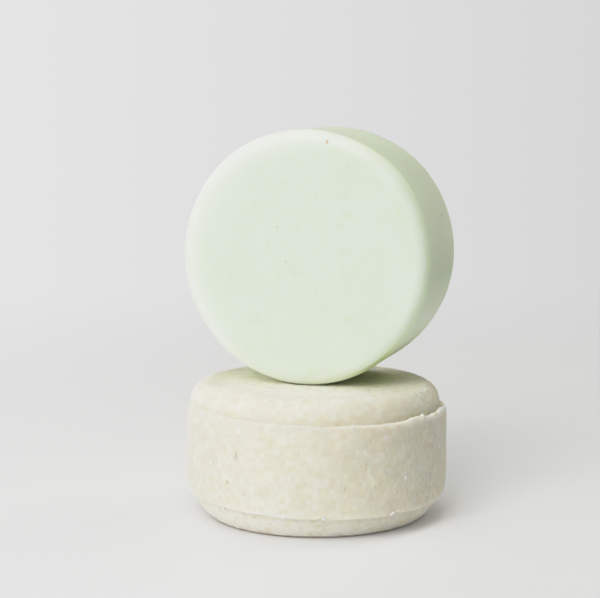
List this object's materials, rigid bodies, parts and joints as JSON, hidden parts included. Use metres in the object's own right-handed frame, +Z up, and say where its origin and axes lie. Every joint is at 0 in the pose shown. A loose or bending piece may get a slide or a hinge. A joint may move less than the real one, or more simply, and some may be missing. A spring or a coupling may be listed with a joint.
{
  "type": "shaving soap puck pair",
  "caption": "Round shaving soaps: a smooth mint puck stands on its rim on a pressed cream puck and lifts off it.",
  "frame": {"origin": "centre of the pressed puck's foot, on the surface it stands on", "axes": "+Z up along the pressed puck's axis; -Y the way the smooth puck's front face looks; +X to its right"},
  "size_m": [0.0709, 0.0713, 0.1047],
  "materials": {
    "pressed_soap": "matte",
    "soap_crumb": "matte",
    "smooth_soap": "satin",
    "plant_fleck": "matte"
  },
  "bodies": {
    "pressed_puck": {"pressed_puck": "pressed_soap", "pressed_puck_crumbs": "soap_crumb"},
    "smooth_puck": {"smooth_puck": "smooth_soap", "smooth_puck_flecks": "plant_fleck"}
  },
  "joints": [
    {"name": "lift_off", "type": "slide", "parent": "pressed_puck", "child": "smooth_puck", "axis": [0, 0, 1], "range_m": [0, 0.08]}
  ]
}
